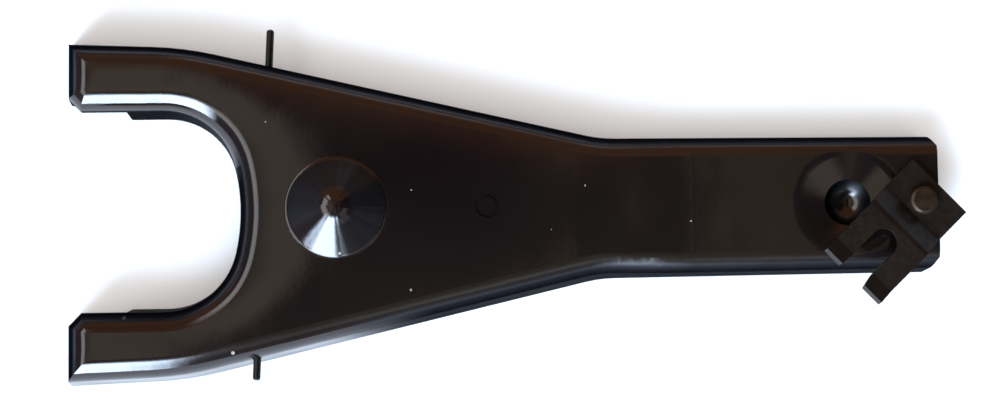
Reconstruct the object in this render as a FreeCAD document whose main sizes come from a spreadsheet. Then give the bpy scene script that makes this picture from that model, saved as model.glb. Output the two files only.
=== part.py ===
import FreeCAD, Part
import math
import os
import re

import Sketcher
from FreeCAD import Placement, Rotation, Vector

# A pressed-steel clutch fork. The lever is a channel: a flat front, called the web, with flanges that turn
# back all round it and lean outwards a little. Millimetres. +X runs from the pivot towards the arm's free
# end, +Y across, +Z forward out of the web. The origin lies on the pivot's axis, in the plane of the flange
# edges.

doc = FreeCAD.newDocument("ClutchFork")

# ------------------------------------------------------------------ driving dimensions
SIZES = {
    "lever_wall": 3.0,            # thickness of the pressed sheet
    "bend_radius": 6.0,           # outside radius of the bend from web to flange
    "head_height": 17.0,          # flange edge to web front, at the pivot
    "arm_height": 14.0,           # the same along the arm
    "flange_draft": 6.0,          # degrees that every flange leans outwards
    "finger_length": 81.1,        # pivot to fingertips
    "tip_half_width": 51.7,
    "shoulder_x": 45.4,           # where the head's sides start to taper
    "shoulder_drop": 1.4,         # how much narrower than the tips the shoulders are
    "shoulder_radius": 100.0,
    "kink_x": 79.0,               # where the taper meets the arm
    "kink_half_width": 21.4,
    "kink_radius": 40.0,
    "arm_length": 180.0,          # pivot to the arm's cut end
    "arm_half_width": 20.75,
    "arm_corner_length": 2.6,     # trimmed corners of the arm's end
    "arm_corner_width": 4.0,
    "gap_half_width": 28.8,       # half the gap between the fingers
    "throat_depth": 30.0,         # pivot to the bottom of the gap
    "throat_radius": 57.0,
    "throat_corner_radius": 21.0,
    "tip_chamfer": 4.5,           # inner corner of each fingertip
    "arm_step_x": 70.0,           # where the web starts to step down to the arm
    "arm_step_radius": 110.0,     # of both curves of the step
    "relief_x": 62.8,             # the inner flanges are trimmed away from here to the tips
    "relief_height": 10.5,
    "ball_radius": 6.5,           # ball stud that the pivot socket fits
    "dome_radius": 14.7,          # foot of the pivot dome
    "dome_slope": 38.0,           # degrees, of its flank
    "dome_foot_round": 2.0,
    "cup_inset": 27.0,            # arm's end to the pushrod's cup
    "cup_radius": 7.6,
    "cup_depth": 6.6,             # web front to the cup's bottom
    "dish_radius": 15.5,          # shallow dish round the cup
    "dish_slope": 14.0,           # degrees
    "dish_lip_radius": 12.0,      # soft edge of the dish
    "mark_x": 44.7,               # small coined ring on the web
    "mark_radius": 3.1,
    "mark_width": 0.7,
    "mark_depth": 0.3,
    "rivet_inset": 5.2,           # arm's end to the rivet
    "rivet_shank_radius": 2.5,
    "rivet_head_radius": 4.3,
    "rivet_head_height": 2.2,
    "rivet_head_round": 1.1,
    "rivet_tail_radius": 3.9,
    "rivet_tail_height": 1.6,
    "rivet_tail_bevel": 0.6,
    "rivet_clearance": 0.05,      # shank to the lever's hole and to the retainer's hole
    "swivel_gap": 0.05,           # rivet head to retainer
    "retainer_wall": 2.0,
    "retainer_angle": 44.0,       # how far the retainer is swung from the arm's line
    "retainer_width": 22.4,
    "retainer_offset": 0.4,       # the retainer isn't quite centred on its rivet
    "retainer_back": 6.7,         # rivet to the tab's end
    "ramp_gap": 0.15,             # rivet head to the ramp's first bend
    "ramp_run": 6.8,              # the ramp's length along the strip
    "retainer_rise": 5.0,         # web front to the underside of the raised plate
    "flare_start": 27.7,
    "retainer_reach": 32.6,
    "flare_rise": 2.3,
    "retainer_bend": 1.2,         # inside bend radius of the retainer
    "slot_width": 8.2,
    "slot_x": 18.15,              # rivet to the centre of the slot's round end
    "slot_mouth": 0.7,            # how much each side of the slot opens at its mouth
    "clip_wire": 2.3,             # diameter of the spring wire
    "clip_x": 22.1,
    "clip_leg": 5.0,              # half the distance between the legs that grip the ball
    "clip_bend": 4.0,
    "clip_nose": 4.0,             # where the legs run into the U-bend
    "clip_upper_end": 53.4,
    "clip_lower_end": 51.7,
    "clip_skew": 2.6,             # the clip sits slightly turned in its holes
    "clip_end_cut": 0.5,
    "clip_clearance": 0.3,
}

sizes = doc.addObject("Spreadsheet::Sheet", "Sizes")
for row, (alias, value) in enumerate(SIZES.items(), start=1):
    sizes.set(f"A{row}", alias.replace("_", " "))
    sizes.set(f"B{row}", str(value))
    sizes.setAlias(f"B{row}", alias)
doc.recompute()

ALIASES = re.compile(r"\b(" + "|".join(SIZES) + r")\b")


def bound(expression):
    """The expression with each size's name pointing at its cell."""
    return ALIASES.sub(r"Sizes.\1", expression)


def worth(expression):
    """The expression's present value."""
    result = sizes.evalExpression(bound(expression))
    return float(getattr(result, "Value", result))


# Places and sizes that follow from the driving ones
CUP_X = "(arm_length - cup_inset)"
RIVET_X = "(arm_length - rivet_inset)"
STEP_LENGTH = "sqrt(4 * arm_step_radius * (head_height - arm_height) - (head_height - arm_height) ^ 2)"
THROAT_CENTRE = "(throat_depth + throat_radius)"
THROAT_CORNER = f"({THROAT_CENTRE} - sqrt(throat_radius ^ 2 - gap_half_width ^ 2))"
OVERRUN = "head_height"
CAP_RADIUS = "(ball_radius + lever_wall)"
DOME_RISE = f"(dome_radius - {CAP_RADIUS} * sin(dome_slope)) * tan(dome_slope)"
BALL_CENTRE = f"(head_height + {DOME_RISE} - {CAP_RADIUS} * cos(dome_slope))"
CUP_CENTRE = "(arm_height - cup_depth + cup_radius)"
CLIP_DROP = "sqrt((ball_radius + clip_wire / 2) ^ 2 - clip_leg ^ 2)"
CLIP_HEIGHT = f"({BALL_CENTRE} - {CLIP_DROP})"
RIVET_HOLE_RADIUS = "(rivet_shank_radius + rivet_clearance)"
RAMP_ANGLE = "atan(retainer_rise / ramp_run)"
RAMP_START = f"(rivet_head_radius + ramp_gap + (retainer_bend + retainer_wall) * tan({RAMP_ANGLE} / 2))"
RAMP_END = f"({RAMP_START} + ramp_run)"
EASED = "(1 - sqrt(0.5))"  # part of a round's radius at which the two flats that stand for it meet
FLARE_ANGLE = "atan(flare_rise / (retainer_reach - flare_start))"


# ------------------------------------------------------------------ ways of working shared by the pieces
HALF_TURN = "half turn"
SAME_PLACE = 0.01  # points this near each other are one


def new_body(label):
    body = doc.addObject("PartDesign::Body", label)
    body.Label = label
    return body


def new_sketch(body, name, plane, **shift):
    """A sketch on one of the body's origin planes, shifted along its own x, y or z by an expression."""
    sketch = body.newObject("Sketcher::SketchObject", name)
    support = [f for f in body.Origin.OriginFeatures if f.Role == plane][0]
    sketch.AttachmentSupport = (support, [""])
    sketch.MapMode = "FlatFace"
    for axis, expression in shift.items():
        sketch.setExpression(f"AttachmentOffset.Base.{axis}", bound(expression))
    return sketch


def tie(sketch, kind, *where):
    """Adds a constraint whose last entry is an expression, and binds it to the sheet."""
    expression = where[-1]
    index = sketch.addConstraint(Sketcher.Constraint(kind, *where[:-1], worth(expression)))
    sketch.setExpression(f"Constraints[{index}]", bound(expression))


def tie_point(sketch, geometry, end, x, y):
    """Holds a point at (x, y) of the sketch; a zero puts it on the axis."""
    for kind, axis, expression in (("DistanceX", -2, x), ("DistanceY", -1, y)):
        if expression == "0":
            sketch.addConstraint(Sketcher.Constraint("PointOnObject", geometry, end, axis))
        else:
            tie(sketch, kind, -1, 1, geometry, end, expression)


def edge_between(start, end, radius, turn):
    """A line, or with a radius the shorter arc, which turns left for turn 1 and right for turn -1."""
    if radius is None:
        return Part.LineSegment(start, end)
    half = (end - start) * 0.5
    across = Vector(-half.y, half.x, 0).normalize()
    centre = start + half + across * turn * math.sqrt(max(0, radius ** 2 - half.Length ** 2))
    circle = Part.Circle(centre, Vector(0, 0, 1), radius)
    first, last = (start, end) if turn > 0 else (end, start)
    return Part.ArcOfCircle(circle, circle.parameter(first), circle.parameter(last))


def draw(sketch, corners, closed=True):
    """Lines and arcs through the corners.

    A corner is (x, y), or (x, y, radius, turn) where an arc leads on from it. The radius HALF_TURN makes a
    half circle to a corner straight above or below.
    """
    points = [Vector(worth(corner[0]), worth(corner[1]), 0) for corner in corners]
    count = len(corners) if closed else len(corners) - 1
    ends = []
    for i in range(count):
        x = corners[i][0]
        start, end = points[i], points[(i + 1) % len(points)]
        radius, turn = corners[i][2:] if len(corners[i]) > 2 else (None, 1)
        if radius is None:
            geometry = sketch.addGeometry(edge_between(start, end, None, turn))
        elif radius == HALF_TURN:
            geometry = sketch.addGeometry(edge_between(start, end, (end - start).Length / 2, turn))
            tie(sketch, "DistanceX", -1, 1, geometry, 3, x)
        else:
            geometry = sketch.addGeometry(edge_between(start, end, worth(radius), turn))
            tie(sketch, "Radius", geometry, radius)
        ends.append((geometry, 1, 2) if turn > 0 else (geometry, 2, 1))
    for i, (geometry, start, end) in enumerate(ends):
        tie_point(sketch, geometry, start, corners[i][0], corners[i][1])
        if closed or i + 1 < count:
            following = ends[(i + 1) % len(ends)]
            sketch.addConstraint(Sketcher.Constraint("Coincident", geometry, end, following[0], following[1]))
        else:
            tie_point(sketch, geometry, end, corners[-1][0], corners[-1][1])


def draw_circle(sketch, x, y, radius):
    geometry = sketch.addGeometry(Part.Circle(Vector(worth(x), worth(y), 0), Vector(0, 0, 1), worth(radius)))
    tie_point(sketch, geometry, 3, x, y)
    tie(sketch, "Radius", geometry, radius)


def feature(body, kind, name, **properties):
    made = body.newObject(f"PartDesign::{kind}", name)
    for key, value in properties.items():
        setattr(made, key, value)
    return made


def recompute_and_check(body, name, change):
    """A cut (-1) has to take metal away, a boss (1) has to add some, and a fillet (0) may do either."""
    before = 0 if body.Shape.isNull() else body.Shape.Volume
    doc.recompute()
    gained = body.Shape.Volume - before
    if gained == 0 or gained * change < 0:
        raise RuntimeError(f"{name} changed the volume by {gained:.2f}")


def pad(body, name, sketch, length, midplane=False):
    made = feature(body, "Pad", name, Profile=sketch, Midplane=midplane)
    made.setExpression("Length", bound(length))
    doc.recompute()
    return made


def pocket(body, name, sketch, depth=None, reverse=False):
    """Cuts right through both ways, or to a depth from the sketch."""
    made = feature(body, "Pocket", name, Profile=sketch)
    if depth is None:
        made.Type = "ThroughAll"
        made.Midplane = True
    else:
        made.setExpression("Length", bound(depth))
        made.Reversed = reverse
    recompute_and_check(body, name, -1)
    return made


def turned(body, name, sketch, cut=False):
    """A full turn of a sketch about its own upright axis."""
    made = feature(body, "Groove" if cut else "Revolution", name, Profile=sketch)
    made.ReferenceAxis = (sketch, ["V_Axis"])
    made.Angle = 360
    recompute_and_check(body, name, -1 if cut else 1)
    return made


def edges_of(shape, wanted):
    return [f"Edge{i}" for i, edge in enumerate(shape.Edges, start=1) if wanted(edge)]


def fillet(body, name, radius, wanted):
    base = body.Tip
    names = edges_of(base.Shape, wanted)
    if not names:
        raise RuntimeError(f"{name} found no edge")
    made = feature(body, "Fillet", name, Base=(base, names))
    made.setExpression("Radius", bound(radius))
    recompute_and_check(body, name, 0)
    return made


def runs_along(edge, direction):
    """True for a straight edge along the direction."""
    if not isinstance(edge.Curve, Part.Line):
        return False
    return abs(abs(edge.Curve.Direction.dot(direction)) - 1) < 1e-6


# ------------------------------------------------------------------ the lever
def lever_plan(lever):
    """The plan of the pressing round both fingers. It overruns the arm's end, which is trimmed later."""
    plan = new_sketch(lever, "LeverPlan", "XY_Plane")
    arm_taper = "(kink_half_width - arm_half_width) / (arm_length - kink_x)"
    upper = [
        (f"arm_length + {OVERRUN}", f"arm_half_width - {OVERRUN} * {arm_taper}"),
        ("kink_x", "kink_half_width"),
        ("-shoulder_x", "tip_half_width - shoulder_drop"),
        ("-finger_length", "tip_half_width"),
        ("-finger_length", "gap_half_width + tip_chamfer"),
        ("tip_chamfer - finger_length", "gap_half_width"),
    ]
    lower = [(x, f"-({y})") for x, y in reversed(upper)]
    throat = [
        (f"-{THROAT_CORNER}", "gap_half_width", "throat_radius", -1),
        (f"-{THROAT_CORNER}", "-gap_half_width"),
    ]
    draw(plan, upper + throat + lower)
    return plan


def inner_plan(channel, plan):
    """The lever's plan drawn again one wall further in."""
    binder = channel.newObject("PartDesign::SubShapeBinder", "InnerPlan")
    binder.Support = [(plan, ("",))]
    binder.MakeFace = True
    binder.OffsetJoinType = 2
    binder.setExpression("Offset", bound("-lever_wall"))
    doc.recompute()
    return binder


def front_cut(body, inset):
    """What is cut from the block above the web, which steps down from the head to the arm."""
    front = new_sketch(body, "FrontCut", "XZ_Plane")
    back = f"(finger_length + {OVERRUN})"
    ahead = f"(arm_length + 2 * {OVERRUN})"
    draw(front, [
        (f"-{back}", f"head_height - {inset}"),
        ("arm_step_x", f"head_height - {inset}", f"arm_step_radius - {inset}", -1),
        step_middle(inset) + (f"arm_step_radius + {inset}", 1),
        (f"arm_step_x + {STEP_LENGTH}", f"arm_height - {inset}"),
        (ahead, f"arm_height - {inset}"),
        (ahead, "head_height * 3"),
        (f"-{back}", "head_height * 3"),
    ])
    return front


def step_middle(inset):
    """Where the step's two curves meet, this far in from the web's front."""
    half_turn = f"({STEP_LENGTH} / 2 / arm_step_radius)"
    drop = "(1 - (head_height - arm_height) / 2 / arm_step_radius)"
    x = f"arm_step_x + {STEP_LENGTH} / 2 - {inset} * {half_turn}"
    y = f"(head_height + arm_height) / 2 - {inset} * {drop}"
    return x, y


def front_rim(shape):
    """A test for the edges where the front meets the sides."""
    def faces_front(face):
        first_u, last_u, first_v, last_v = face.ParameterRange
        return face.normalAt((first_u + last_u) / 2, (first_v + last_v) / 2).z > 0.5

    def wanted(edge):
        faces = [face for face in shape.Faces if any(other.isSame(edge) for other in face.Edges)]
        fronts = [face for face in faces if faces_front(face)]
        return len(faces) == 2 and len(fronts) == 1 and edge.CenterOfMass.x < worth("arm_length + 1")
    return wanted


def upright_near(x, half_width, inset):
    """A test for the upright edges within two walls of (x, +half_width) and (x, -half_width)."""
    place_x, place_y, reach = worth(x), worth(half_width), worth(inset) * 2 + SAME_PLACE

    def wanted(edge):
        middle = edge.CenterOfMass
        near = abs(middle.x - place_x) < reach and abs(abs(middle.y) - place_y) < reach
        return near and runs_along(edge, Vector(0, 0, 1))
    return wanted


def lean_sides(body):
    """Leans every side in as it rises from the flange edges' plane, so the flanges open outwards."""
    base = body.Tip
    faces = enumerate(base.Shape.Faces, start=1)
    sides = [f"Face{i}" for i, face in faces if abs(face.normalAt(0, 0).z) < 0.5]
    floor = [f for f in body.Origin.OriginFeatures if f.Role == "XY_Plane"][0]
    made = feature(body, "Draft", "FlangeDraft", Base=(base, sides), NeutralPlane=(floor, [""]))
    made.setExpression("Angle", bound("flange_draft"))
    recompute_and_check(body, "FlangeDraft", -1)


def build_form(body, profile, inset):
    """The lever's solid form, or with an inset of one wall the channel inside it."""
    pad(body, "Block", profile, "head_height * 2")
    for name, radius, grow, x, y in (
        ("ShoulderRounds", "shoulder_radius", "-", "-shoulder_x", "tip_half_width - shoulder_drop"),
        ("KinkRounds", "kink_radius", "+", "kink_x", "kink_half_width"),
        ("ThroatRounds", "throat_corner_radius", "+", f"-{THROAT_CORNER}", "gap_half_width"),
    ):
        fillet(body, name, f"{radius} {grow} {inset}", upright_near(x, y, inset))
    lean_sides(body)
    pocket(body, "Front", front_cut(body, inset))
    fillet(body, "RimBend", f"bend_radius - {inset}", front_rim(body.Tip.Shape))


def round_edge(radius, height, centre_x="0"):
    """A test for an edge that goes round an upright axis at this radius and height."""
    size, axis = worth(radius), Vector(worth(centre_x), 0, worth(height))

    def wanted(edge):
        if edge.Degenerated:
            return False
        offsets = [point - axis for point in edge.discretize(5)]
        level = all(abs(offset.z) < SAME_PLACE for offset in offsets)
        return level and all(abs(offset.Length - size) < SAME_PLACE for offset in offsets)
    return wanted


def dome_profile(sketch, cap_radius, foot_x, foot_y):
    """Half the dome: up its flank from the foot, over the cap and down its axis to the foot's level."""
    draw(sketch, [
        ("0", foot_y),
        (foot_x, foot_y),
        (f"{cap_radius} * sin(dome_slope)", f"{BALL_CENTRE} + {cap_radius} * cos(dome_slope)", cap_radius, 1),
        ("0", f"{BALL_CENTRE} + {cap_radius}"),
    ])


def add_pivot_dome(lever):
    """The dome pressed forward over the pivot, and the ball's socket inside it."""
    dome = new_sketch(lever, "DomeProfile", "XZ_Plane")
    buried = "lever_wall / 2"
    flank_run = f"{buried} / tan(dome_slope)"
    dome_profile(dome, CAP_RADIUS, f"dome_radius + {flank_run}", f"head_height - {buried}")
    turned(lever, "Dome", dome)
    fillet(lever, "DomeFoot", "dome_foot_round", round_edge("dome_radius", "head_height"))
    socket = new_sketch(lever, "SocketProfile", "XZ_Plane")
    mouth_height = "(head_height - 2 * lever_wall)"
    mouth_radius = (f"ball_radius * sin(dome_slope) + ({BALL_CENTRE} + ball_radius * cos(dome_slope)"
                    f" - {mouth_height}) / tan(dome_slope)")
    dome_profile(socket, "ball_radius", mouth_radius, mouth_height)
    turned(lever, "Socket", socket, cut=True)


def dish_profile(sketch, inset):
    """Half the shallow dish: a soft lip that rolls over into a cone down to the axis."""
    lip = f"(dish_lip_radius + {inset})"
    roll = "dish_lip_radius * tan(dish_slope / 2)"
    level = f"arm_height - {inset}"
    edge_x = f"dish_radius + {roll}"
    low_x = f"{edge_x} - {lip} * sin(dish_slope)"
    low_y = f"{level} - {lip} * (1 - cos(dish_slope))"
    draw(sketch, [
        ("0", f"{low_y} - ({low_x}) * tan(dish_slope)"),
        (low_x, low_y, lip, -1),
        (edge_x, level),
        (edge_x, f"{level} + lever_wall"),
        ("0", f"{level} + lever_wall"),
    ])


def cup_profile(sketch, radius):
    """Half the round cup inside the dish."""
    draw(sketch, [
        ("0", f"{CUP_CENTRE} - {radius}", radius, 1),
        (radius, CUP_CENTRE),
        ("0", CUP_CENTRE),
    ])


def add_pushrod_cup(body, inset):
    """The cup pressed backward for the pushrod. In the channel the same cuts leave its bulge."""
    dish = new_sketch(body, "DishProfile", "XZ_Plane", x=CUP_X)
    dish_profile(dish, inset)
    turned(body, "Dish", dish, cut=True)
    cup = new_sketch(body, "CupProfile", "XZ_Plane", x=CUP_X)
    cup_profile(cup, f"(cup_radius + {inset})")
    turned(body, "Cup", cup, cut=True)


def trim_arm_end(lever):
    """The arm's end is cut square, with its corners trimmed."""
    end = new_sketch(lever, "ArmEnd", "XY_Plane")
    upper = [
        ("arm_length", "arm_half_width - arm_corner_width"),
        ("arm_length - 2 * arm_corner_length", "arm_half_width + arm_corner_width"),
        (f"arm_length + 2 * {OVERRUN}", "arm_half_width + arm_corner_width"),
    ]
    draw(end, upper + [(x, f"-({y})") for x, y in reversed(upper)])
    pocket(lever, "ArmEndCut", end)


def trim_inner_flanges(lever):
    """Next to the bearing the fingers' inner flanges are cut back to the bend."""
    relief = new_sketch(lever, "FingerRelief", "XY_Plane")
    outside = f"-(finger_length + {OVERRUN})"
    for side in ("", "-"):
        near = f"{side}(gap_half_width - lever_wall)"
        far = f"{side}(gap_half_width + tip_chamfer)"
        draw(relief, [(outside, near), ("-relief_x", near), ("-relief_x", far), (outside, far)])
    pocket(lever, "FingerReliefCut", relief, "relief_height", reverse=True)


def coin_mark(lever):
    """A small ring coined into the web."""
    mark = new_sketch(lever, "MarkProfile", "XZ_Plane", x="mark_x")
    inner, outer = "mark_radius - mark_width / 2", "mark_radius + mark_width / 2"
    low, high = "head_height - mark_depth", "head_height + mark_depth"
    draw(mark, [(inner, low), (outer, low), (outer, high), (inner, high)])
    turned(lever, "Mark", mark, cut=True)


def drill_lever(lever):
    """The rivet's hole in the web, and the two holes in the outer flanges that carry the spring clip."""
    rivet_hole = new_sketch(lever, "RivetHole", "XY_Plane")
    draw_circle(rivet_hole, RIVET_X, "0", RIVET_HOLE_RADIUS)
    pocket(lever, "RivetHoleCut", rivet_hole)
    clip_holes = new_sketch(lever, "ClipHoles", "XZ_Plane")
    clip_holes.AttachmentOffset = Placement(Vector(0, 0, 0), Rotation(Vector(0, 1, 0), -worth("clip_skew")))
    clip_holes.setExpression("AttachmentOffset.Rotation.Angle", bound("-clip_skew"))
    draw_circle(clip_holes, "-clip_x", CLIP_HEIGHT, "clip_wire / 2 + clip_clearance")
    pocket(lever, "ClipHolesCut", clip_holes)


def build_lever():
    """The pressed lever: its solid form with every pressing and hole, less the channel behind the web."""
    form = new_body("lever_form")
    plan = lever_plan(form)
    build_form(form, plan, "0")
    add_pivot_dome(form)
    add_pushrod_cup(form, "0")
    coin_mark(form)
    drill_lever(form)
    trim_inner_flanges(form)
    trim_arm_end(form)
    channel = new_body("lever_channel")
    build_form(channel, inner_plan(channel, plan), "lever_wall")
    add_pushrod_cup(channel, "lever_wall")
    lever = doc.addObject("Part::Cut", "fork_lever")
    lever.Base = form
    lever.Tool = channel
    return lever


# ------------------------------------------------------------------ the pivot's spring clip
def build_clip():
    """One spring wire: its ends stand in the outer flanges and its two legs grip the ball from behind."""
    clip = new_body("pivot_clip")
    path = new_sketch(clip, "ClipPath", "XY_Plane", z=CLIP_HEIGHT)
    draw(path, [
        ("-clip_x", "clip_upper_end"),
        ("-clip_x", "clip_leg + clip_bend", "clip_bend", 1),
        ("clip_bend - clip_x", "clip_leg"),
        ("clip_nose", "clip_leg", HALF_TURN, -1),
        ("clip_nose", "-clip_leg"),
        ("clip_bend - clip_x", "-clip_leg", "clip_bend", 1),
        ("-clip_x", "-(clip_leg + clip_bend)"),
        ("-clip_x", "-clip_lower_end"),
    ], closed=False)
    wire = new_sketch(clip, "ClipWire", "XZ_Plane", z="-clip_upper_end")
    draw_circle(wire, "-clip_x", CLIP_HEIGHT, "clip_wire / 2")
    doc.recompute()
    pipe = feature(clip, "AdditivePipe", "Wire", Profile=wire, Spine=path)
    doc.recompute()
    ends = (worth("clip_upper_end"), -worth("clip_lower_end"))

    def is_end(edge):
        return min(abs(edge.CenterOfMass.y - end) for end in ends) < SAME_PLACE
    ends_cut = feature(clip, "Chamfer", "WireEnds", Base=(clip.Tip, edges_of(clip.Tip.Shape, is_end)))
    ends_cut.setExpression("Size", bound("clip_end_cut"))
    recompute_and_check(clip, "WireEnds", -1)
    clip.Placement = Placement(Vector(0, 0, 0), Rotation(Vector(0, 0, 1), -worth("clip_skew")))
    clip.setExpression("Placement.Rotation.Angle", bound("-clip_skew"))
    return clip


# ------------------------------------------------------------------ the pushrod's retainer and its rivet
def retainer_side(retainer):
    """Side view of the folded strip: tab, ramp, raised plate and flared tips, x from the rivet."""
    side = new_sketch(retainer, "RetainerSide", "XZ_Plane", z="-retainer_offset")
    tips = "(retainer_rise + flare_rise)"
    lean_x, lean_y = f"retainer_wall * sin({FLARE_ANGLE})", f"retainer_wall * cos({FLARE_ANGLE})"
    ramp_shift, flare_shift = (f"retainer_wall * tan({angle} / 2)" for angle in (RAMP_ANGLE, FLARE_ANGLE))
    draw(side, [
        ("-retainer_back", "0"),
        (RAMP_START, "0"),
        (RAMP_END, "retainer_rise"),
        ("flare_start", "retainer_rise"),
        ("retainer_reach", tips),
        (f"retainer_reach - {lean_x}", f"{tips} + {lean_y}"),
        (f"flare_start - {flare_shift}", "retainer_rise + retainer_wall"),
        (f"{RAMP_END} - {ramp_shift}", "retainer_rise + retainer_wall"),
        (f"{RAMP_START} - {ramp_shift}", "retainer_wall"),
        ("-retainer_back", "retainer_wall"),
    ])
    return side, ramp_shift, flare_shift


def crosswise_at(*places):
    """A test for the straight edges across the retainer at these (x, z)."""
    spots = [(worth(x), worth(z)) for x, z in places]

    def wanted(edge):
        middle = edge.CenterOfMass
        near = any(abs(middle.x - x) < SAME_PLACE and abs(middle.z - z) < SAME_PLACE for x, z in spots)
        return near and runs_along(edge, Vector(0, 1, 0))
    return wanted


def build_retainer():
    """A strip of sheet folded up over the cup, with a slot that closes round the pushrod's neck."""
    retainer = new_body("pushrod_retainer")
    side, ramp_shift, flare_shift = retainer_side(retainer)
    pad(retainer, "Strip", side, "retainer_width", midplane=True)
    raised = "retainer_rise + retainer_wall"
    fillet(retainer, "InsideBends", "retainer_bend", crosswise_at(
        (f"{RAMP_START} - {ramp_shift}", "retainer_wall"),
        (RAMP_END, "retainer_rise"),
        (f"flare_start - {flare_shift}", raised)))
    fillet(retainer, "OutsideBends", "retainer_bend + retainer_wall", crosswise_at(
        (RAMP_START, "0"),
        (f"{RAMP_END} - {ramp_shift}", raised),
        ("flare_start", "retainer_rise")))
    slot = new_sketch(retainer, "Slot", "XY_Plane")
    half, mouth = "slot_width / 2", "slot_width / 2 + slot_mouth"
    draw(slot, [
        ("retainer_reach + slot_mouth", mouth),
        ("flare_start", half),
        ("slot_x", half, HALF_TURN, 1),
        ("slot_x", f"-({half})"),
        ("flare_start", f"-({half})"),
        ("retainer_reach + slot_mouth", f"-({mouth})"),
    ])
    pocket(retainer, "SlotCut", slot)
    hole = new_sketch(retainer, "RetainerHole", "XY_Plane")
    draw_circle(hole, "0", "0", RIVET_HOLE_RADIUS)
    pocket(retainer, "RetainerHoleCut", hole)
    angle = worth("180 + retainer_angle")
    retainer.Placement = Placement(Vector(0, 0, 0), Rotation(Vector(0, 0, 1), angle))
    retainer.setExpression("Placement.Base.x", bound(RIVET_X))
    retainer.setExpression("Placement.Base.z", bound("arm_height"))
    retainer.setExpression("Placement.Rotation.Angle", bound("180 + retainer_angle"))
    return retainer


def build_rivet():
    """A pan-headed rivet, closed behind the web; the retainer turns on its shank."""
    rivet = new_body("retainer_rivet")
    profile = new_sketch(rivet, "RivetProfile", "XZ_Plane", x=RIVET_X)
    web_back = "(arm_height - lever_wall)"
    head_seat = "(arm_height + retainer_wall + swivel_gap)"
    tail, head = f"{web_back} - rivet_tail_height", f"{head_seat} + rivet_head_height"
    draw(profile, [
        ("0", tail),
        ("rivet_tail_radius - rivet_tail_bevel", tail),
        ("rivet_tail_radius", f"{tail} + rivet_tail_bevel"),
        ("rivet_tail_radius", web_back),
        ("rivet_shank_radius", web_back),
        ("rivet_shank_radius", head_seat),
        ("rivet_head_radius", head_seat),
        ("rivet_head_radius", f"{head} - rivet_head_round"),
        (f"rivet_head_radius - rivet_head_round * {EASED}", f"{head} - rivet_head_round * {EASED}"),
        ("rivet_head_radius - rivet_head_round", head),
        ("0", head),
    ])
    turned(rivet, "Turned", profile)
    return rivet


# ------------------------------------------------------------------ the parts, checked and written
parts = [build_lever(), build_clip(), build_retainer(), build_rivet()]
doc.recompute()

for made in doc.Objects:
    if {"Invalid", "Error"} & set(made.State):
        raise RuntimeError(f"{made.Name} failed: {made.State}")
for part in parts:
    part.Label = part.Name
    if part.Shape.isNull() or not part.Shape.isValid() or len(part.Shape.Solids) != 1:
        raise RuntimeError(f"{part.Label} isn't one valid solid")

os.makedirs("parts", exist_ok=True)
for part in parts:
    part.Shape.exportStep(f"parts/{part.Label}.step")
    box = part.Shape.BoundBox
    print(f"{part.Label}: {part.Shape.Volume:.1f} mm3, x {box.XMin:.2f} to {box.XMax:.2f}, "
          f"y {box.YMin:.2f} to {box.YMax:.2f}, z {box.ZMin:.2f} to {box.ZMax:.2f}")
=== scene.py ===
import math

import bpy
from mathutils import Euler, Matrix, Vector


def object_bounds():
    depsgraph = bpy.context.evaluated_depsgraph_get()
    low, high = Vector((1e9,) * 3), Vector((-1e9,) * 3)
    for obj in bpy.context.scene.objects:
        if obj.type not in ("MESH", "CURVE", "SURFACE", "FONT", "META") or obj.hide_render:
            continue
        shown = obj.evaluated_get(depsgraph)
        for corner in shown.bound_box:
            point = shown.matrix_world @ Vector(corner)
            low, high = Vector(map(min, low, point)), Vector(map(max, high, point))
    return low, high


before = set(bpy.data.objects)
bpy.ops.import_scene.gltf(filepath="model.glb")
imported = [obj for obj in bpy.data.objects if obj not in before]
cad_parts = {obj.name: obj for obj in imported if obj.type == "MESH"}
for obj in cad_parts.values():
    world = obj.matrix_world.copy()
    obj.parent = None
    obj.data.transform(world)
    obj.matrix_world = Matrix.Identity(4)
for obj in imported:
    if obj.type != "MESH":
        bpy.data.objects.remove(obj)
cad_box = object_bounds()

# ---------------------------------------------------------------- camera
# A stills camera straight above the lever and a little to the near side, as for a parts catalogue.
# It has a long lens, so the flanges hardly show.
camera_data = bpy.data.cameras.new("camera")
camera_data.sensor_width = 36.0
camera_data.lens = 71.01
camera = bpy.data.objects.new("camera", camera_data)
camera.location = (0.03577, -0.04247, 0.600)
camera.rotation_euler = Euler((0.0708, -0.0208, -0.0144), "XYZ")
bpy.context.scene.collection.objects.link(camera)
bpy.context.scene.camera = camera
bpy.context.scene.view_settings.view_transform = "Standard"


# ---------------------------------------------------------------- table top
# A plain white laminate table top. The lever lies on it on the edges of its flanges, front up.
# It glows a little where it is seen, so that it looks white; close under the lever, ambient
# occlusion cuts the glow down, a painted contact shadow.
def worked(tree, operation, *given):
    """One step of arithmetic on numbers, fixed or linked."""
    step = tree.nodes.new("ShaderNodeMath")
    step.operation = operation
    for entry, value in zip(step.inputs, given):
        if isinstance(value, (int, float)):
            entry.default_value = value
        else:
            tree.links.new(value, entry)
    return step.outputs["Value"]


table_half = 3.0
table_glow = 0.58
shadow_reach = 0.020

table_height = cad_box[0][2]
table_corners = [
    (x * table_half, y * table_half, table_height)
    for x, y in ((-1, -1), (1, -1), (1, 1), (-1, 1))
]
table_mesh = bpy.data.meshes.new("table_top")
table_mesh.from_pydata(table_corners, [], [(0, 1, 2, 3)])
table = bpy.data.objects.new("table_top", table_mesh)
bpy.context.scene.collection.objects.link(table)

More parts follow.
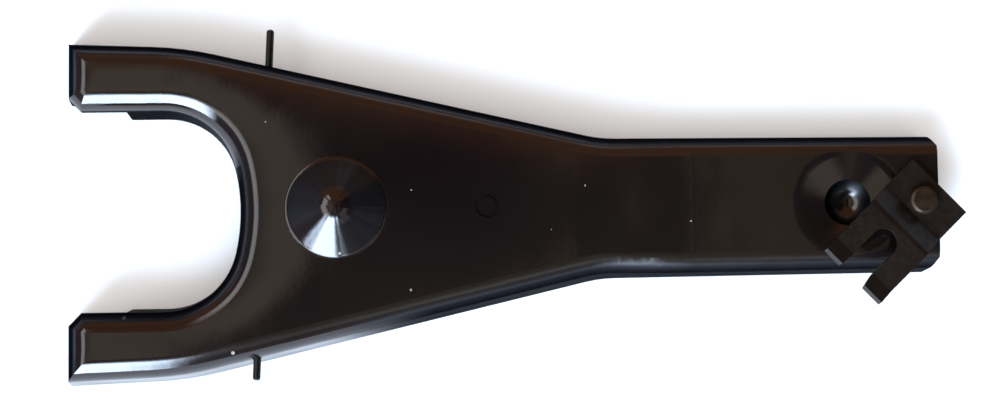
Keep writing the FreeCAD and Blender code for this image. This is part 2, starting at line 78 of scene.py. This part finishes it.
table_white = bpy.data.materials.new("table_white")
table_white.use_nodes = True
tree = table_white.node_tree
tree.nodes.clear()
surface = tree.nodes.new("ShaderNodeOutputMaterial")
matt = tree.nodes.new("ShaderNodeBsdfDiffuse")
matt.inputs["Color"].default_value = (0.50, 0.53, 0.58, 1)
ray = tree.nodes.new("ShaderNodeLightPath").outputs
seen = worked(tree, "MAXIMUM", ray["Is Camera Ray"], ray["Is Glossy Ray"])
seen = worked(tree, "MAXIMUM", seen, ray["Is Transmission Ray"])
# painted shadow: ambient occlusion darkens the glow close under the lever
painted_contact_shadow = tree.nodes.new("ShaderNodeAmbientOcclusion")
painted_contact_shadow.samples = 8
painted_contact_shadow.inputs["Distance"].default_value = shadow_reach
glow_outside_painted_shadow = worked(tree, "MULTIPLY", seen, painted_contact_shadow.outputs["AO"])
backlit = tree.nodes.new("ShaderNodeEmission")
tree.links.new(worked(tree, "MULTIPLY", glow_outside_painted_shadow, table_glow), backlit.inputs["Strength"])
both = tree.nodes.new("ShaderNodeAddShader")
tree.links.new(matt.outputs["BSDF"], both.inputs[0])
tree.links.new(backlit.outputs["Emission"], both.inputs[1])
tree.links.new(both.outputs["Shader"], surface.inputs["Surface"])
table_mesh.materials.append(table_white)

# ---------------------------------------------------------------- room
# A dim room with pale walls and a brown ceiling. All the light comes from soft patches of it: a
# wide daylight window at the near left, warm light from the far side, and small ones in between.
world = bpy.data.worlds.new("room")
bpy.context.scene.world = world
world.use_nodes = True
tree = world.node_tree
sky = tree.nodes.new("ShaderNodeTexCoord").outputs["Generated"]


def vectors(tree, operation, *given):
    """One step of arithmetic on vectors or colours, fixed or linked."""
    step = tree.nodes.new("ShaderNodeVectorMath")
    step.operation = operation
    for entry, value in zip(step.inputs, given):
        if isinstance(value, tuple):
            entry.default_value = value
        else:
            tree.links.new(value, entry)
    return step.outputs


def along(tree, vector, x, y, z):
    """How far a vector reaches in one direction."""
    return vectors(tree, "DOT_PRODUCT", vector, (x, y, z))["Value"]


def ease(tree, value, start, end, first=0.0, last=1.0):
    """first on one side of start, last on the far side of end, and smooth between them."""
    ramp = tree.nodes.new("ShaderNodeMapRange")
    ramp.interpolation_type = "SMOOTHSTEP"
    ramp.inputs["From Min"].default_value = start
    ramp.inputs["From Max"].default_value = end
    ramp.inputs["To Min"].default_value = first
    ramp.inputs["To Max"].default_value = last
    tree.links.new(value, ramp.inputs["Value"])
    return ramp.outputs["Result"]


def lit(tree, share, colour, strength):
    """A share, from 0 to 1, of a light of one colour."""
    return vectors(tree, "MULTIPLY", tuple(part * strength for part in colour), share)["Vector"]


up = along(tree, sky, 0, 0, 1)


def patch(heading, half_width, soft_edge, low, lower, upper, high, colour, strength):
    """A soft patch round a heading, with its angles in degrees and its heights as sines.

    It starts at the height low, is full from lower to upper, and ends at high."""
    turn = math.radians(heading)
    ahead = along(tree, sky, math.cos(turn), math.sin(turn), 0)
    aside = along(tree, sky, -math.sin(turn), math.cos(turn), 0)
    off = worked(tree, "ABSOLUTE", worked(tree, "ARCTAN2", aside, ahead))
    across = ease(tree, off, math.radians(half_width), math.radians(half_width - soft_edge))
    upright = worked(tree, "MULTIPLY", ease(tree, up, low, lower), ease(tree, up, high, upper))
    return lit(tree, worked(tree, "MULTIPLY", across, upright), colour, strength)


walls = lit(tree, ease(tree, up, 0.80, 0.0), (1.0, 0.95, 0.96), 0.17)
ceiling = lit(tree, ease(tree, up, 0.2, 0.9), (1.0, 0.66, 0.66), 0.022)
room = vectors(tree, "ADD", walls, ceiling)["Vector"]
for light in (
    # the daylight window, and the edge of its curtain
    patch(-115, 27, 14, -0.05, 0.04, 0.70, 0.86, (0.70, 0.85, 1.0), 26.0),
    patch(-62, 30, 18, 0.42, 0.55, 0.66, 0.80, (0.80, 0.90, 1.0), 0.5),
    # a white blind behind the fingers
    patch(180, 64, 24, 0.60, 0.70, 0.80, 0.92, (0.97, 0.97, 0.92), 3.0),
    # the near half of the ceiling in dull yellow light, and a brighter spot of it
    patch(-120, 95, 45, 0.30, 0.60, 0.88, 0.996, (1.0, 0.84, 0.50), 0.20),
    patch(-28, 34, 20, 0.70, 0.79, 0.88, 0.94, (1.0, 0.88, 0.70), 0.6),
    # the far half in warm light from a lamp
    patch(98, 66, 36, 0.05, 0.30, 0.88, 0.994, (1.0, 0.40, 0.13), 0.46),
    # small openings low in the walls, which the sides of the dome and the retainer mirror
    patch(42, 26, 14, 0.10, 0.20, 0.36, 0.52, (0.55, 0.70, 1.0), 0.12),
    patch(-8, 15, 9, 0.12, 0.20, 0.30, 0.42, (1.0, 0.96, 0.88), 0.8),
    patch(84, 12, 8, 0.12, 0.20, 0.30, 0.42, (0.85, 0.92, 1.0), 0.7),
    patch(150, 14, 9, 0.12, 0.20, 0.30, 0.42, (0.60, 0.72, 1.0), 0.35),
):
    room = vectors(tree, "ADD", room, light)["Vector"]

# straight overhead there are two more, over the fingers and over the arm, and they are told apart by
# the slope of the light along the lever, which is only worked out well above the floor
lowest_height = 0.2
overhead = ease(tree, up, 0.90, 0.97)
height = worked(tree, "MAXIMUM", up, lowest_height)
slope = worked(tree, "DIVIDE", along(tree, sky, 1, 0, 0), height)
over_fingers = ease(tree, slope, -0.045, -0.165)
over_arm = worked(
    tree, "MULTIPLY", ease(tree, slope, 0.080, 0.160), ease(tree, slope, 0.28, 0.17)
)
for end, colour, strength in (
    (over_fingers, (1.0, 0.84, 0.62), 0.62),
    (over_arm, (1.0, 0.84, 0.42), 0.21),
):
    light = lit(tree, worked(tree, "MULTIPLY", end, overhead), colour, strength)
    room = vectors(tree, "ADD", room, light)["Vector"]
tree.links.new(room, tree.nodes["Background"].inputs["Color"])


# ---------------------------------------------------------------- fork lever
# The lever is one pressing of 3 mm steel sheet, dipped in gloss black enamel and baked. The enamel
# has a fine orange peel, is browner where it ran thin, and has caught a few specks of dust.
def effect(name, outcome, **usual):
    """A shared effect as a node group, with a place and its own values going in, and one result."""
    group = bpy.data.node_groups.new(name, "ShaderNodeTree")
    sockets = group.interface
    sockets.new_socket(name="Place", in_out="INPUT", socket_type="NodeSocketVector")
    for label, value in usual.items():
        made = sockets.new_socket(
            name=label.replace("_", " "), in_out="INPUT", socket_type="NodeSocketFloat"
        )
        made.default_value = value
    sockets.new_socket(name=outcome, in_out="OUTPUT", socket_type="NodeSocketFloat")
    given = group.nodes.new("NodeGroupInput").outputs
    result = group.nodes.new("NodeGroupOutput").inputs[outcome]
    return group, given, result


def cloud(tree, place, scale, detail, roughness=0.5):
    """Soft noise that is set in the metal, with scale in lumps per metre."""
    texture = tree.nodes.new("ShaderNodeTexNoise")
    texture.inputs["Scale"].default_value = scale
    texture.inputs["Detail"].default_value = detail
    texture.inputs["Roughness"].default_value = roughness
    tree.links.new(place, texture.inputs["Vector"])
    return texture.outputs["Fac"]


def mottle(tree, place, scale, detail, roughness=0.5):
    """The same noise drawn out into patches of 0 and 1 with soft edges."""
    return ease(tree, cloud(tree, place, scale, detail, roughness), 0.35, 0.65)


# specks of dust under the enamel: 1 inside a speck, in some cells of a flat pattern only
dust, given, speck = effect(
    "dust_specks", "Speck", Cells_per_metre=90.0, Speck_size=0.035, Share_of_cells=0.1
)
cells = dust.nodes.new("ShaderNodeTexVoronoi")
cells.feature = "F1"
cells.voronoi_dimensions = "2D"
dust.links.new(given["Place"], cells.inputs["Vector"])
dust.links.new(given["Cells per metre"], cells.inputs["Scale"])
lot = dust.nodes.new("ShaderNodeSeparateColor")
dust.links.new(cells.outputs["Color"], lot.inputs["Color"])
size = worked(dust, "MULTIPLY", given["Speck size"], lot.outputs["Green"])
inside = worked(dust, "LESS_THAN", cells.outputs["Distance"], size)
chosen = worked(dust, "LESS_THAN", lot.outputs["Red"], given["Share of cells"])
dust.links.new(worked(dust, "MULTIPLY", inside, chosen), speck)

# the fine orange peel of the enamel, and the long shallow waves of the sheet under it
peel_lumps = 700.0
wave_lumps = 55.0
peel, given, height = effect("orange_peel", "Height", Peel=1.0, Sheet_waves=1.0)
fine = worked(peel, "MULTIPLY", cloud(peel, given["Place"], peel_lumps, 1.0), given["Peel"])
broad = cloud(peel, given["Place"], wave_lumps, 1.0)
peel.links.new(worked(peel, "MULTIPLY_ADD", broad, given["Sheet waves"], fine), height)

# how near the closest bend of the web is: 1 at the bend, 0 at Width from it
tip_x = -0.0811
throat_x, throat_y, throat_radius = -0.0510, 0.0078, 0.0210
head_half, arm_half = 0.0510, 0.0210
kink_x, kink_half, narrowing = 0.079, 0.0214, 0.2323
corner_blend, tip_blend, throat_blend, ridge_blend = 0.004, 0.006, 0.014, 0.007
crown, given, nearness = effect("crown_to_the_bends", "Nearness", Width=0.022)
x = along(crown, given["Place"], 1, 0, 0)
y = along(crown, given["Place"], 0, 1, 0)
off_centre = worked(crown, "SQRT", worked(crown, "MULTIPLY_ADD", y, y, ridge_blend**2))
half = worked(crown, "MULTIPLY_ADD", x, -narrowing, kink_half + kink_x * narrowing)
half = worked(crown, "SMOOTH_MAX", half, arm_half, corner_blend)
half = worked(crown, "SMOOTH_MIN", half, head_half, corner_blend)
to_side = worked(crown, "SUBTRACT", half, off_centre)
past_x = worked(crown, "MAXIMUM", worked(crown, "SUBTRACT", x, throat_x), 0.0)
past_y = worked(crown, "MAXIMUM", worked(crown, "SUBTRACT", off_centre, throat_y), 0.0)
square = worked(crown, "MULTIPLY", past_y, past_y)
from_throat = worked(crown, "SQRT", worked(crown, "MULTIPLY_ADD", past_x, past_x, square))
to_throat = worked(crown, "SUBTRACT", from_throat, throat_radius)
to_tip = worked(crown, "SUBTRACT", x, tip_x)
to_bend = worked(crown, "SMOOTH_MIN", to_side, to_throat, throat_blend)
to_bend = worked(crown, "SMOOTH_MIN", to_bend, to_tip, tip_blend)
near = worked(crown, "SUBTRACT", 1.0, worked(crown, "DIVIDE", to_bend, given["Width"]))
near = worked(crown, "MINIMUM", worked(crown, "MAXIMUM", near, 0.0), 1.0)
crown.links.new(near, nearness)

# the shallow radial puckers that the press draws into the cone of the dome
puckers, given, height = effect("dome_puckers", "Height", Foot_radius=0.0145)
flat = vectors(puckers, "MULTIPLY", given["Place"], (1, 1, 0))["Vector"]
reach = vectors(puckers, "LENGTH", flat)["Value"]
spoke = vectors(puckers, "NORMALIZE", flat)["Vector"]
on_dome = worked(puckers, "LESS_THAN", reach, given["Foot radius"])
outward = worked(puckers, "DIVIDE", reach, given["Foot radius"])
taper = worked(puckers, "MULTIPLY", outward, on_dome)
puckers.links.new(worked(puckers, "MULTIPLY", cloud(puckers, spoke, 2.6, 0.4), taper), height)


def metal_finish(name, refraction=1.5, specular=0.5, edge=(1, 1, 1)):
    """A new material, its nodes, its shader's inputs, and the place that textures are set in."""
    material = bpy.data.materials.new(name)
    material.use_nodes = True
    tree = material.node_tree
    shader = tree.nodes["Principled BSDF"].inputs
    shader["IOR"].default_value = refraction
    shader["Specular IOR Level"].default_value = specular
    shader["Specular Tint"].default_value = (*edge, 1)
    place = tree.nodes.new("ShaderNodeTexCoord").outputs["Object"]
    return material, tree, shader, place


def use(tree, group, place, **values):
    """Puts a shared effect in a material with its own values."""
    used = tree.nodes.new("ShaderNodeGroup")
    used.node_tree = group
    tree.links.new(place, used.inputs["Place"])
    for label, value in values.items():
        used.inputs[label.replace("_", " ")].default_value = value
    return used.outputs[0]


def blend_colour(tree, share, first, second):
    """The first colour where share is 0 and the second where it is 1."""
    mix = tree.nodes.new("ShaderNodeMix")
    mix.data_type = "RGBA"
    tree.links.new(share, mix.inputs["Factor"])
    for given, name in ((first, "A"), (second, "B")):
        entry = next(one for one in mix.inputs if one.name == name and one.type == "RGBA")
        if isinstance(given, tuple):
            entry.default_value = (*given, 1)
        else:
            tree.links.new(given, entry)
    return next(one for one in mix.outputs if one.type == "RGBA")


def bump(tree, shader, height, unit):
    """Raises the surface by height, counted in units of so many metres."""
    raised = tree.nodes.new("ShaderNodeBump")
    raised.inputs["Distance"].default_value = unit
    tree.links.new(height, raised.inputs["Height"])
    tree.links.new(raised.outputs["Normal"], shader["Normal"])


def dress(name, material):
    """Puts a finish on every slot of one piece."""
    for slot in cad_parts[name].material_slots:
        slot.material = material


enamel, tree, shader, place = metal_finish("black_enamel", 2.5, 0.62, (0.22, 0.22, 0.235))
lengthwise = along(tree, place, 1, 0, 0)
crosswise = along(tree, place, 0, 1, 0)

# painted shade: the steep flanges and the outer parts of the bends get a dark, metal-like
# reflection, a grey base colour and more roughness, so that they mirror less of the floor; the faces
# that turn towards the window, on the near side of the fingers and the head, are left glossy
normal = tree.nodes.new("ShaderNodeNewGeometry").outputs["Normal"]
facing_up = worked(tree, "ABSOLUTE", along(tree, normal, 0, 0, 1))
steep = ease(tree, facing_up, 0.94, 0.70)
near_side = ease(tree, along(tree, normal, 0, -1, 0), 0.10, 0.35)
head_end = ease(tree, lengthwise, 0.030, -0.010)
near_side_flange = ease(tree, crosswise, -0.030, -0.040)
on_bend = ease(tree, facing_up, 0.15, 0.35)
glossy_towards_window = worked(tree, "MULTIPLY", near_side, head_end)
glossy_towards_window = worked(tree, "MULTIPLY", glossy_towards_window, worked(tree, "MAXIMUM", on_bend, near_side_flange))
painted_flange_shade = worked(tree, "MULTIPLY", steep, worked(tree, "SUBTRACT", 1.0, glossy_towards_window))
tree.links.new(painted_flange_shade, shader["Metallic"])

specks = use(tree, dust, place, Cells_per_metre=95.0, Speck_size=0.050, Share_of_cells=0.12)
thin = mottle(tree, place, 14.0, 2.0)
colour = blend_colour(tree, thin, (0.0042, 0.0026, 0.0031), (0.0066, 0.0046, 0.0040))
# painted shade: this grey base colour is the dark, metal-like reflection of the steep faces
colour = blend_colour(tree, painted_flange_shade, colour, (0.016, 0.016, 0.019))
colour = blend_colour(tree, specks, colour, (0.17, 0.15, 0.14))
tree.links.new(colour, shader["Base Color"])

dull_roughness, speck_roughness = 0.33, 0.5
roughness = ease(tree, cloud(tree, place, 38.0, 4.0, 0.6), 0.3, 0.7, 0.07, 0.12)
roughness = worked(tree, "MULTIPLY_ADD", painted_flange_shade, dull_roughness, roughness)
roughness = worked(tree, "MULTIPLY_ADD", specks, speck_roughness, roughness)
tree.links.new(roughness, shader["Roughness"])

# the heights are in millimetres: the web is crowned and falls towards the bends, less so on the
# arm, and the step down to the arm is drawn out over the whole neck
millimetre = 0.001
crown_fall, bend_waves, neck_rise, pucker_height = -2.5, 0.22, 3.1, 0.8
near_bend = use(tree, crown, place, Width=0.034)
neck = ease(tree, lengthwise, 0.069, 0.107)
fall = worked(tree, "POWER", near_bend, 3.0)
fall = worked(tree, "MULTIPLY", fall, ease(tree, neck, 0.0, 1.0, 1.0, 0.45))
wavy = worked(tree, "MULTIPLY", cloud(tree, place, 75.0, 1.0), near_bend)
height = use(tree, peel, place, Peel=0.010, Sheet_waves=0.06)
height = worked(tree, "MULTIPLY_ADD", neck, neck_rise, height)
height = worked(tree, "MULTIPLY_ADD", wavy, bend_waves, height)
height = worked(tree, "MULTIPLY_ADD", fall, crown_fall, height)
dome = use(tree, puckers, place, Foot_radius=0.0145)
height = worked(tree, "MULTIPLY_ADD", dome, pucker_height, height)
bump(tree, shader, height, millimetre)
dress("fork_lever", enamel)

# ---------------------------------------------------------------- pivot's spring clip
# One length of 2.3 mm spring wire behind the web, bent to grip the neck of the ball stud. Its ends
# stick out through the outer flanges. It is blued in the hardening and oiled.
blued, tree, shader, place = metal_finish("blued_wire")
drawn = mottle(tree, place, 240.0, 3.0)
colour = blend_colour(tree, drawn, (0.004, 0.004, 0.005), (0.009, 0.007, 0.006))
tree.links.new(colour, shader["Base Color"])
tree.links.new(ease(tree, drawn, 0.0, 1.0, 0.34, 0.46), shader["Roughness"])
shader["Metallic"].default_value = 0.5
bump(tree, shader, cloud(tree, place, 900.0, 2.0), 0.00002)
dress("pivot_clip", blued)

# ---------------------------------------------------------------- pushrod retainer
# A forked clip, blanked and bent from 2 mm spring steel. It turns on the rivet, over the pushrod's
# cup, and has a thin brownish coat of semi-gloss black paint.
thin_black, tree, shader, place = metal_finish("semi_gloss_black", specular=0.32)
grain = cloud(tree, place, 420.0, 3.0, 0.6)
stain = mottle(tree, place, 60.0, 3.0)
colour = blend_colour(tree, stain, (0.0066, 0.0044, 0.0036), (0.0086, 0.0060, 0.0046))
tree.links.new(colour, shader["Base Color"])
tree.links.new(ease(tree, grain, 0.3, 0.7, 0.24, 0.38), shader["Roughness"])
bump(tree, shader, grain, 0.00003)
dress("pushrod_retainer", thin_black)

# ---------------------------------------------------------------- retainer rivet
# A steel rivet with a flat-topped head, headed over cold. Its black paint is so thin that the
# browned steel shows through.
browned, tree, shader, place = metal_finish("thin_black_on_browned_steel")
browning = mottle(tree, place, 380.0, 4.0, 0.6)
colour = blend_colour(tree, browning, (0.027, 0.016, 0.011), (0.036, 0.022, 0.015))
tree.links.new(colour, shader["Base Color"])
tree.links.new(ease(tree, browning, 0.0, 1.0, 0.26, 0.40), shader["Roughness"])
shader["Metallic"].default_value = 0.6
bump(tree, shader, cloud(tree, place, 700.0, 3.0), 0.00004)
dress("retainer_rivet", browned)
